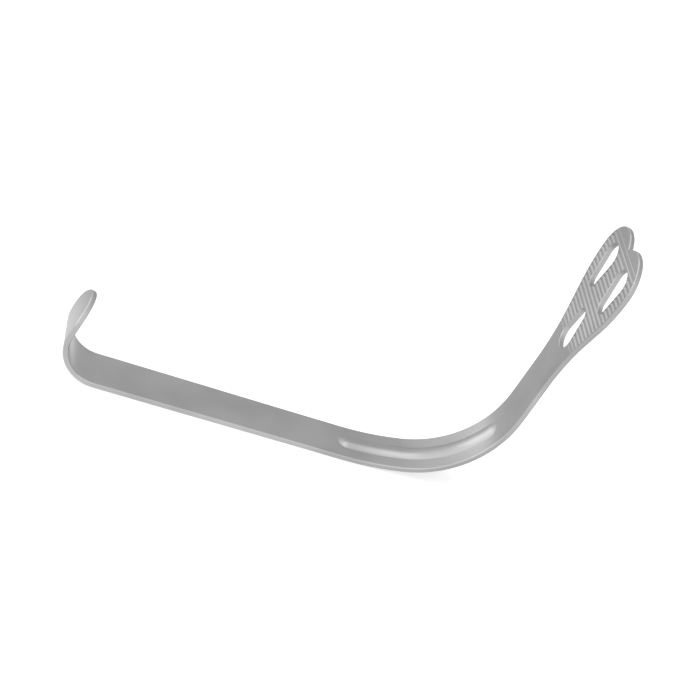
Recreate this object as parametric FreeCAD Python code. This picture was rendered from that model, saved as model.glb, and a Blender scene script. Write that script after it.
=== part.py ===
"""Handheld tissue retractor, bent from one strip of stainless steel.

A flat strap is the handle. Its free end curls up into a short hook with a rounded tip. The other end turns
up through a wide elbow with a raised rib, and carries a heart-shaped blade with three slots and a field of
cross serrations on the face that holds the tissue.

Frame: X runs along the strap from the hook to the blade, Y across it and Z up. The origin is the middle of
the strap's flat underside. The strip's inner face is the one inside the bends: its upper face at the strap.
"""
import FreeCAD, Part
import math
import os

from FreeCAD import Vector

# Strip, millimetres. Its edges are rounded on the inner face, and broken on the back and at the slots
thickness = 1.3
strap_width = 13.0
strap_length = 60.7
edge_round = 0.25
edge_chamfer = 0.28
slot_chamfer = 0.12

# Hook, with its radii on the inner face and its turn in degrees
hook_radius = 8.2
hook_angle = 99.7
tip_radius = 41.5
tip_length = 9.6
tip_round_length = 7.6
tip_trim = 0.2

# Elbow: a gentle lead-in, the main bend and a gentle lead-out
lead_in_radius = 71.3
lead_in_angle = 11.9
elbow_radius = 25.55
elbow_angle = 66.3
lead_out_radius = 49.3
lead_out_angle = 3.4

# Neck and heart-shaped blade, in the blade's own plane
neck_width = 12.4
neck_length = 9.8
blade_width = 26.9
flare_radius = 38.9
flare_angle = 21.8
shoulder_radius = 28.5
lobe_radius = 7.85
notch_round = 0.8

# Slots: pear shapes, each a wide and a narrow end joined by straight sides
slot_wide_radius = 3.15
slot_narrow_radius = 2.0
side_slot_centres = 6.5
side_slot_offset = 6.15
middle_slot_centres = 5.7
middle_slot_start = 8.2

# Rib raised on the elbow's inner face; it starts just short of the elbow
rib_start = -1.0
rib_length = 40.2
rib_width = 4.8
rib_height = 0.65

# Serrations across the blade's inner face
serration_pitch = 1.26
serration_width = 0.95
serration_depth = 0.18
serration_start = 11.0
serration_count = 21
serration_fade = 2
serration_rim = 0.25
serration_slot_gap = 0.15

# Overlap that keeps a cutting solid clear of the faces it cuts
clear = 2.0


class Path:
    """A plane line of straight runs and bends, each tangent to the one before.

    A run is its length and its radius: None for a straight run, positive to turn left, negative right.
    """

    def __init__(self, runs, start, heading, to_space):
        self.to_space = to_space
        self.runs = []
        along = 0.0
        for length, radius in runs:
            self.runs.append((along, length, radius, start, heading))
            start, heading = self.step(start, heading, length, radius)
            along += length
        self.length = along

    @staticmethod
    def step(start, heading, length, radius):
        """Point and heading after a distance along a run."""
        a, b = start
        if radius is None:
            return (a + length * math.cos(heading), b + length * math.sin(heading)), heading
        turned = heading + length / radius
        a += radius * (math.sin(turned) - math.sin(heading))
        b -= radius * (math.cos(turned) - math.cos(heading))
        return (a, b), turned

    def place(self, along, offset=0.0):
        """Point and heading at a distance along the path, moved by an offset to its left."""
        for begin, length, radius, start, heading in self.runs:
            if along <= begin + length + 1e-9:
                break
        (a, b), heading = self.step(start, heading, along - begin, radius)
        return (a - offset * math.sin(heading), b + offset * math.cos(heading)), heading

    def edges(self, first, last, offset=0.0):
        """Lines and arcs of the path between two distances along it."""
        made = []
        for begin, length, radius, _, _ in self.runs:
            low, high = max(first, begin), min(last, begin + length)
            if high - low < 1e-6:
                continue
            points = [self.to_space(*self.place(s, offset)[0]) for s in (low, (low + high) / 2, high)]
            if radius is None:
                made.append(Part.LineSegment(points[0], points[2]).toShape())
            else:
                made.append(Part.Arc(*points).toShape())
        return made


def flat(length):
    return length, None


def bend(radius, turn):
    """A run that turns by so many degrees, to the left where its radius is positive."""
    return abs(radius) * math.radians(turn), radius


def side_view(x, z):
    return Vector(x, 0, z)


def plan_view(x, y):
    return Vector(x, y, 0)


def line(start, end):
    return Part.LineSegment(start, end).toShape()


def inner_face_path():
    """Side view of the inner face, from the hook's tip to the start of the neck."""
    runs = [
        (tip_length, tip_radius),
        bend(hook_radius, hook_angle),
        flat(strap_length),
        bend(lead_in_radius, lead_in_angle),
        bend(elbow_radius, elbow_angle),
        bend(lead_out_radius, lead_out_angle),
    ]
    heading = -tip_length / tip_radius - math.radians(hook_angle)
    trial = Path(runs, (0.0, 0.0), heading, side_view)
    (x, z), _ = trial.place(strap_begin() + strap_length / 2)
    return Path(runs, (-x, thickness - z), heading, side_view)


def strap_begin():
    """Distance along the inner face from the hook's tip to the flat strap."""
    return tip_length + bend(hook_radius, hook_angle)[0]


def elbow_begin():
    return strap_begin() + strap_length


def strip(path, first, last, top=0.0, bottom=-thickness):
    """The strip between two distances along its inner face and two heights over it, wider than the strap."""
    inner = path.edges(first, last, top)
    outer = path.edges(first, last, bottom)
    ends = [
        line(side_view(*path.place(s, top)[0]), side_view(*path.place(s, bottom)[0])) for s in (last, first)
    ]
    outline = Part.Wire(inner + [ends[0]] + outer[::-1] + [ends[1]])
    solid = Part.Face(outline).extrude(Vector(0, strap_width + 2 * clear, 0))
    solid.translate(Vector(0, -strap_width / 2 - clear, 0))
    return solid


def mirrored_face(half):
    """Face between a half outline, drawn along +Y, and its mirror image across the X axis."""
    other = [edge.mirror(Vector(0, 0, 0), Vector(0, 1, 0)) for edge in half]
    return Part.Face(Part.Wire(Part.__sortEdges__(half + other)))


def plan_block():
    """Upright block as wide as the strip: its sides ease inwards along the flat strap."""
    half_strap, half_neck = strap_width / 2, neck_width / 2
    x_start, x_end = -strap_length / 2, strap_length / 2
    x_low, x_high = x_start - strap_length, x_end + strap_length
    third = strap_length / 3
    ease = Part.BezierCurve()
    ease.setPoles([
        Vector(x_start, half_strap, 0),
        Vector(x_start + third, half_strap, 0),
        Vector(x_end - third, half_neck, 0),
        Vector(x_end, half_neck, 0),
    ])
    half = [
        line(Vector(x_low, 0, 0), Vector(x_low, half_strap, 0)),
        line(Vector(x_low, half_strap, 0), Vector(x_start, half_strap, 0)),
        ease.toShape(),
        line(Vector(x_end, half_neck, 0), Vector(x_high, half_neck, 0)),
        line(Vector(x_high, half_neck, 0), Vector(x_high, 0, 0)),
    ]
    block = mirrored_face(half).extrude(Vector(0, 0, 2 * strap_length))
    block.translate(Vector(0, 0, -clear))
    return block


def tip_block():
    """Block with a half-oval end at X = 0, which rounds the hook's tip."""
    side = strap_width / 2
    oval = Part.BezierCurve()
    oval.setPoles([Vector(0, 0, 0), Vector(0, side, 0), Vector(tip_round_length, side, 0)])
    oval.setWeight(2, math.sqrt(0.5))
    half = [
        oval.toShape(),
        line(Vector(tip_round_length, side, 0), Vector(tip_length, side, 0)),
        line(Vector(tip_length, side, 0), Vector(tip_length, 0, 0)),
    ]
    block = mirrored_face(half).extrude(Vector(0, 0, 4 * thickness))
    block.translate(Vector(0, 0, -3 * thickness))
    return block


def placed(shape, path, along):
    """Moves a shape drawn in plan onto the inner face: its X along the path, its Z out of the face."""
    (x, z), heading = path.place(along)
    shape.rotate(Vector(0, 0, 0), Vector(0, 1, 0), -math.degrees(heading))
    shape.translate(Vector(x, 0, z))
    return shape


def handle(path):
    """Hook, strap and elbow, its tip rounded square to the strip where the rounding begins."""
    body = strip(path, 0.0, path.length).common(plan_block())
    tip = strip(path, 0.0, tip_length)
    rounding = tip_block()
    rounding.translate(Vector(-tip_round_length, 0, 0))
    rounded = tip.common(placed(rounding, path, tip_trim + tip_round_length))
    return body.cut(tip).fuse(rounded)


def flare_run():
    """Straight length between the flare and the shoulder that brings the lobes to the blade's width."""
    angle = math.radians(flare_angle)
    rise = (blade_width - neck_width) / 2
    return (rise - (flare_radius + shoulder_radius) * (1 - math.cos(angle))) / math.sin(angle)


def blade_side():
    """Half outline of the neck and blade up to the lobe's widest point, from the neck's start."""
    runs = [
        flat(neck_length),
        bend(flare_radius, flare_angle),
        flat(flare_run()),
        bend(-shoulder_radius, flare_angle),
    ]
    return Path(runs, (0.0, neck_width / 2), 0.0, plan_view)


def lobe_centre():
    (x, y), _ = blade_side().place(blade_side().length)
    return Vector(x, y - lobe_radius, 0)


def arc_about(centre, radius, first, last):
    """Arc about a centre between two angles in degrees."""
    angles = [math.radians(a) for a in (first, (first + last) / 2, last)]
    return Part.Arc(*[centre + Vector(math.cos(a), math.sin(a), 0) * radius for a in angles]).toShape()


def blade_outline():
    """Heart-shaped face with its neck, its lobes meeting in a small round notch."""
    side = blade_side()
    centre = lobe_centre()
    reach = math.sqrt((lobe_radius + notch_round) ** 2 - centre.y ** 2)
    notch = Vector(centre.x + reach, 0, 0)
    meet = -math.degrees(math.atan2(centre.y, reach))
    half = [line(Vector(0, 0, 0), Vector(0, neck_width / 2, 0))]
    half += side.edges(0.0, side.length)
    half.append(arc_about(centre, lobe_radius, 90.0, meet))
    half.append(arc_about(notch, notch_round, 180.0 + meet, 180.0))
    return mirrored_face(half)


def blade():
    """Neck and blade as a plate whose inner face is Z = 0."""
    return blade_outline().extrude(Vector(0, 0, -thickness))


def pear(wide, narrow, margin):
    """Upright cutter for a slot: a wide and a narrow round end joined by tangent sides."""
    across = narrow - wide
    axis = math.degrees(math.atan2(across.y, across.x))
    lean = math.degrees(math.acos((slot_wide_radius - slot_narrow_radius) / across.Length))
    big = arc_about(wide, slot_wide_radius + margin, axis + lean, axis + 360.0 - lean)
    small = arc_about(narrow, slot_narrow_radius + margin, axis - lean, axis + lean)
    sides = [
        line(big.Vertexes[0].Point, small.Vertexes[1].Point),
        line(big.Vertexes[1].Point, small.Vertexes[0].Point),
    ]
    face = Part.Face(Part.Wire(Part.__sortEdges__([big, small] + sides)))
    block = face.extrude(Vector(0, 0, thickness + 2 * clear))
    block.translate(Vector(0, 0, -thickness - clear))
    return block


def slots(margin=0.0):
    """Two slots in the lobes, wide towards the tip, and one between them, wide towards the neck."""
    wide = Vector(lobe_centre().x, side_slot_offset, 0)
    upper = pear(wide, wide - Vector(side_slot_centres, 0, 0), margin)
    lower = upper.mirror(Vector(0, 0, 0), Vector(0, 1, 0))
    middle_x = neck_length + middle_slot_start + slot_wide_radius
    middle = pear(Vector(middle_x, 0, 0), Vector(middle_x + middle_slot_centres, 0, 0), margin)
    return [upper, lower, middle]


def comb():
    """Saw-toothed cutter across the blade: its points sink into the face, its notches stay above it."""
    slope = 2 * serration_depth / serration_width
    first = neck_length + serration_start
    last = first + (serration_count - 1) * serration_pitch
    depths = []
    for i in range(serration_count):
        from_end = min(i, serration_count - 1 - i) + 1
        depths.append(serration_depth * min(1.0, from_end / (serration_fade + 1)))
    corners = [Vector(first - (clear + depths[0]) / slope, 0, clear)]
    for i, depth in enumerate(depths):
        corners.append(Vector(first + i * serration_pitch, 0, -depth))
        if i + 1 < serration_count:
            ahead = serration_pitch / 2 + (depth - depths[i + 1]) / (2 * slope)
            corners.append(corners[-1] + Vector(ahead, 0, ahead * slope))
    corners.append(Vector(last + (clear + depths[-1]) / slope, 0, clear))
    cutter = Part.Face(Part.makePolygon(corners + corners[:1])).extrude(Vector(0, blade_width, 0))
    cutter.translate(Vector(0, -blade_width / 2, 0))
    return cutter


def serrations():
    """Cutter for the grooves, which end inside the blade's rim and just short of the slots."""
    field = blade_outline().makeOffset2D(-edge_round - serration_rim).extrude(Vector(0, 0, thickness))
    field.translate(Vector(0, 0, -thickness / 2))
    return comb().common(field.cut(slots(slot_chamfer + serration_slot_gap)))


def rib(path):
    """Low round-backed rib that follows the elbow's inner face, with ball-shaped ends."""
    radius = (rib_width ** 2 / 4 + rib_height ** 2) / (2 * rib_height)
    lift = rib_height - radius
    begin = elbow_begin() + rib_start
    first, last = begin + rib_width / 2, begin + rib_length - rib_width / 2
    spine = Part.Wire(path.edges(first, last, lift))
    (x, z), heading = path.place(first, lift)
    ring = Part.makeCircle(radius, Vector(x, 0, z), Vector(math.cos(heading), 0, math.sin(heading)))
    bar = spine.makePipeShell([Part.Wire(ring)], True, False)
    for along in (first, last):
        (x, z), _ = path.place(along, lift)
        bar = bar.fuse(Part.makeSphere(radius, Vector(x, 0, z)))
    return bar.common(strip(path, begin - clear, begin + rib_length + clear, rib_height + clear, -thickness / 2))


def middle_of(edge):
    return edge.valueAt((edge.FirstParameter + edge.LastParameter) / 2)


def sharp_edges(shape):
    """Edges where two faces meet at about a right angle."""
    found = []
    for edge in shape.Edges:
        faces = shape.ancestorsOfType(edge, Part.Face)
        if len(faces) != 2:
            continue
        middle = middle_of(edge)
        normals = [face.normalAt(*face.Surface.parameter(middle)) for face in faces]
        if abs(normals[0].dot(normals[1])) < 0.5:
            found.append(edge)
    return found


def rounded_inside(path, body):
    """Body with its edges rounded on the inner face, which touches tissue."""
    along = blade_side().length + lobe_radius
    (x, z), heading = path.place(path.length)
    blade_end = Vector(x + along * math.cos(heading), 0, z + along * math.sin(heading))
    profile = Part.Wire(path.edges(0.0, path.length) + [line(Vector(x, 0, z), blade_end)])
    inner = []
    for edge in sharp_edges(body):
        middle = middle_of(edge)
        if Part.Vertex(middle.x, 0, middle.z).distToShape(profile)[0] < thickness / 2:
            inner.append(edge)
    return body.makeFillet(edge_round, inner)


def retractor():
    path = inner_face_path()
    body = handle(path).fuse(placed(blade(), path, path.length)).removeSplitter()
    body = rounded_inside(path, body)
    body = body.makeChamfer(edge_chamfer, sharp_edges(body))
    body = body.cut([placed(slot, path, path.length) for slot in slots()])
    body = body.makeChamfer(slot_chamfer, sharp_edges(body))
    body = body.fuse(rib(path))
    return body.cut(placed(serrations(), path, path.length))


os.makedirs("parts", exist_ok=True)
solid = retractor().Solids[0]
solid.exportStep("parts/retractor.step")
print("retractor", solid.isValid(), round(solid.Volume, 1), "mm3", len(solid.Faces), "faces")
print("centre of mass", [round(c, 2) for c in solid.CenterOfMass])
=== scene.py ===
"""One-piece steel retractor on a white table, in soft studio light, from the photograph's angle.

Lengths are in metres, in the part's own frame: X along the strap, Z up, the table at Z = 0.
"""

import math

import bpy
from mathutils import Matrix, Vector

# Camera, fitted to the photograph's outline of the part. The photograph shows the part rolled.
AIM = Vector((0.0259, 0.0113, 0.0192))
CAMERA_AZIMUTH = -15.07
CAMERA_ELEVATION = 29.01
CAMERA_ROLL = 24.51
CAMERA_DISTANCE = 0.4551
CAMERA_CLIP = (0.01, 20.0)
FOCAL_LENGTH_MM = 98.73
SENSOR_MM = 36.0

WHITE = (1.0, 1.0, 1.0, 1.0)

# Table: its size and paint, the light that lifts it to white for the camera, the painted glow the steel sees
# on it, painted light in front of the part and painted shade behind it, the way from front to back and where
# along it the painted shade sets in
TABLE_SIZE = 6.0
TABLE_COLOUR = (0.86, 0.86, 0.86, 1.0)
TABLE_GLOW = 0.5
TABLE_FRONT = 1.0
TABLE_BACK = 0.65
TABLE_BACKWARD = (0.5, 1.0, 0.0)
TABLE_FADE = (-0.005, 0.03)

# Tent of light around the part: how bright its dark side and its bright side are, the way to the bright side,
# and where one fades into the other, as the cosine of the angle from that way
TENT_DARK = 0.6
TENT_BRIGHT = 1.18
TENT_BRIGHT_AZIMUTH = -58.0
TENT_BRIGHT_ELEVATION = 0.0
TENT_FADE = (-0.65, 0.45)

# Lamps: name, azimuth, elevation, size and power. All are equally far from the part and face it.
LAMPS = (
    ("front_light", -58.0, 20.0, (0.6, 0.6), 0.6),
    ("side_light", -122.0, 12.0, (0.6, 0.6), 0.55),
    ("top_light", 179.0, 68.0, (0.4, 0.5), 0.38),
)
LAMP_DISTANCE = 0.9

# Steel: its colour and roughness
STEEL_COLOUR = (0.5, 0.5, 0.505)
STEEL_ROUGHNESS = 0.3

# Duller and brighter patches: how many to a metre, the span of the noise and the factors on the colour
PATCH_SCALE = 70.0
PATCH_SPAN = (0.3, 0.7)
PATCH_FACTORS = (0.93, 1.07)

# Fine scratches along the strip: how many to a metre along each axis, how strong and how deep
SCRATCH_SCALE = (50.0, 1500.0, 50.0)
SCRATCH_STRENGTH = 0.06
SCRATCH_DEPTH = 0.000005

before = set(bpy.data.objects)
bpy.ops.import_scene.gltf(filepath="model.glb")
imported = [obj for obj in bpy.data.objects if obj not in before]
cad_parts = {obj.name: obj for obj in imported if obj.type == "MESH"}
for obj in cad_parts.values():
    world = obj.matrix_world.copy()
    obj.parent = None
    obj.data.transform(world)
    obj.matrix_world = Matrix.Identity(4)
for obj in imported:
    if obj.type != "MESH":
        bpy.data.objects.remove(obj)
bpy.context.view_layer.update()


def node(tree, kind, **inputs):
    """Adds a shader node and sets its input values by name."""
    made = tree.nodes.new(kind)
    for name, value in inputs.items():
        made.inputs[name.replace("_", " ")].default_value = value
    return made


def ramp(tree, span, levels):
    """Map from a span of values to two levels, with a smooth change between them."""
    made = tree.nodes.new("ShaderNodeMapRange")
    made.interpolation_type = "SMOOTHSTEP"
    made.inputs["From Min"].default_value, made.inputs["From Max"].default_value = span
    made.inputs["To Min"].default_value, made.inputs["To Max"].default_value = levels
    return made


def new_material(name):
    """Empty material with its node tree."""
    material = bpy.data.materials.new(name)
    material.use_nodes = True
    material.node_tree.nodes.clear()
    return material, material.node_tree


def steel():
    """Satin stainless steel, finely brushed along the strip, with faint uneven polish."""
    material, tree = new_material("satin_steel")
    link = tree.links.new
    output = node(tree, "ShaderNodeOutputMaterial")
    surface = node(tree, "ShaderNodeBsdfPrincipled", Metallic=1.0, Roughness=STEEL_ROUGHNESS)
    link(surface.outputs["BSDF"], output.inputs["Surface"])

    place = node(tree, "ShaderNodeTexCoord")
    cloud = node(tree, "ShaderNodeTexNoise", Scale=PATCH_SCALE, Detail=2.0, Roughness=0.5)
    link(place.outputs["Object"], cloud.inputs["Vector"])
    patches = ramp(tree, PATCH_SPAN, PATCH_FACTORS)
    link(cloud.outputs["Fac"], patches.inputs["Value"])
    tint = node(tree, "ShaderNodeVectorMath")
    tint.operation = "SCALE"
    tint.inputs[0].default_value = STEEL_COLOUR
    link(patches.outputs["Result"], tint.inputs["Scale"])
    link(tint.outputs["Vector"], surface.inputs["Base Color"])

    stretch = node(tree, "ShaderNodeMapping", Scale=SCRATCH_SCALE)
    link(place.outputs["Object"], stretch.inputs["Vector"])
    grain = node(tree, "ShaderNodeTexNoise", Scale=1.0, Detail=1.0, Roughness=0.5)
    link(stretch.outputs["Vector"], grain.inputs["Vector"])
    scratches = node(tree, "ShaderNodeBump", Strength=SCRATCH_STRENGTH, Distance=SCRATCH_DEPTH)
    link(grain.outputs["Fac"], scratches.inputs["Height"])
    link(scratches.outputs["Normal"], surface.inputs["Normal"])
    return material


def table():
    """White table top. For the camera it is lifted to white, and it keeps the part's shadow.

    The steel sees a painted glow on it instead: painted light in front of the part and painted shade behind,
    fitted to its greys in the photograph.
    """
    bpy.ops.mesh.primitive_plane_add(size=TABLE_SIZE, location=(0.0, 0.0, 0.0))
    top = bpy.context.object
    top.name = "table"
    material, tree = new_material("table_white")
    link = tree.links.new
    output = node(tree, "ShaderNodeOutputMaterial")
    paint = node(tree, "ShaderNodeBsdfDiffuse", Color=TABLE_COLOUR)
    glow = node(tree, "ShaderNodeEmission", Color=WHITE, Strength=TABLE_GLOW)
    both = node(tree, "ShaderNodeAddShader")
    link(paint.outputs["BSDF"], both.inputs[0])
    link(glow.outputs["Emission"], both.inputs[1])

    # Painted light and shade for glossy rays: the table glows bright in front of the part and darker behind
    # it
    place = node(tree, "ShaderNodeTexCoord")
    backward = node(tree, "ShaderNodeVectorMath")
    backward.operation = "DOT_PRODUCT"
    backward.inputs[1].default_value = TABLE_BACKWARD
    link(place.outputs["Object"], backward.inputs[0])
    level = ramp(tree, TABLE_FADE, (TABLE_FRONT, TABLE_BACK))
    link(backward.outputs["Value"], level.inputs["Value"])
    painted_table_glow = node(tree, "ShaderNodeEmission", Color=WHITE)
    link(level.outputs["Result"], painted_table_glow.inputs["Strength"])

    path = node(tree, "ShaderNodeLightPath")
    to_camera = node(tree, "ShaderNodeMixShader")
    link(path.outputs["Is Camera Ray"], to_camera.inputs["Fac"])
    link(paint.outputs["BSDF"], to_camera.inputs[1])
    link(both.outputs["Shader"], to_camera.inputs[2])
    # Glossy rays see the painted glow in place of the lit table
    to_steel = node(tree, "ShaderNodeMixShader")
    link(path.outputs["Is Glossy Ray"], to_steel.inputs["Fac"])
    link(to_camera.outputs["Shader"], to_steel.inputs[1])
    link(painted_table_glow.outputs["Emission"], to_steel.inputs[2])
    link(to_steel.outputs["Shader"], output.inputs["Surface"])
    top.data.materials.append(material)


def direction(azimuth, elevation):
    """Unit vector from the part: azimuth 0 is towards -Y, and positive turns towards +X."""
    a, e = math.radians(azimuth), math.radians(elevation)
    return Vector((math.sin(a) * math.cos(e), -math.cos(a) * math.cos(e), math.sin(e)))


def studio_walls():
    """World light: a pale tent whose walls grow brighter towards one side. The camera sees it white."""
    world = bpy.data.worlds.new("studio")
    bpy.context.scene.world = world
    world.use_nodes = True
    tree = world.node_tree
    tree.nodes.clear()
    link = tree.links.new
    output = node(tree, "ShaderNodeOutputWorld")
    place = node(tree, "ShaderNodeTexCoord")
    towards = node(tree, "ShaderNodeVectorMath")
    towards.operation = "DOT_PRODUCT"
    towards.inputs[1].default_value = direction(TENT_BRIGHT_AZIMUTH, TENT_BRIGHT_ELEVATION)
    link(place.outputs["Generated"], towards.inputs[0])
    level = ramp(tree, TENT_FADE, (TENT_DARK, TENT_BRIGHT))
    link(towards.outputs["Value"], level.inputs["Value"])
    walls = node(tree, "ShaderNodeBackground", Color=WHITE)
    link(level.outputs["Result"], walls.inputs["Strength"])
    white = node(tree, "ShaderNodeBackground", Color=WHITE)
    choice = node(tree, "ShaderNodeMixShader")
    path = node(tree, "ShaderNodeLightPath")
    link(path.outputs["Is Camera Ray"], choice.inputs["Fac"])
    link(walls.outputs["Background"], choice.inputs[1])
    link(white.outputs["Background"], choice.inputs[2])
    link(choice.outputs["Shader"], output.inputs["Surface"])


def soft_box(name, azimuth, elevation, size, power):
    """Rectangular lamp that faces the part."""
    lamp = bpy.data.lights.new(name, "AREA")
    lamp.shape = "RECTANGLE"
    lamp.size, lamp.size_y = size
    lamp.energy = power
    holder = bpy.data.objects.new(name, lamp)
    away = direction(azimuth, elevation)
    holder.location = AIM + away * LAMP_DISTANCE
    holder.rotation_euler = away.to_track_quat("Z", "Y").to_euler()
    bpy.context.scene.collection.objects.link(holder)


def camera():
    """Camera at the photograph's angle, with the same roll and framing."""
    eye = bpy.data.cameras.new("camera")
    eye.sensor_width = SENSOR_MM
    eye.lens = FOCAL_LENGTH_MM
    eye.clip_start, eye.clip_end = CAMERA_CLIP
    holder = bpy.data.objects.new("camera", eye)
    back = direction(CAMERA_AZIMUTH, CAMERA_ELEVATION)
    roll = Matrix.Rotation(math.radians(CAMERA_ROLL), 4, "Z")
    turn = back.to_track_quat("Z", "Y").to_matrix().to_4x4() @ roll
    holder.matrix_world = Matrix.Translation(AIM + back * CAMERA_DISTANCE) @ turn
    bpy.context.scene.collection.objects.link(holder)
    bpy.context.scene.camera = holder


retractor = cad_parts["retractor"]
retractor.data.materials.clear()
retractor.data.materials.append(steel())
table()
studio_walls()
for lamp in LAMPS:
    soft_box(*lamp)
camera()

bpy.context.scene.view_settings.view_transform = "Standard"
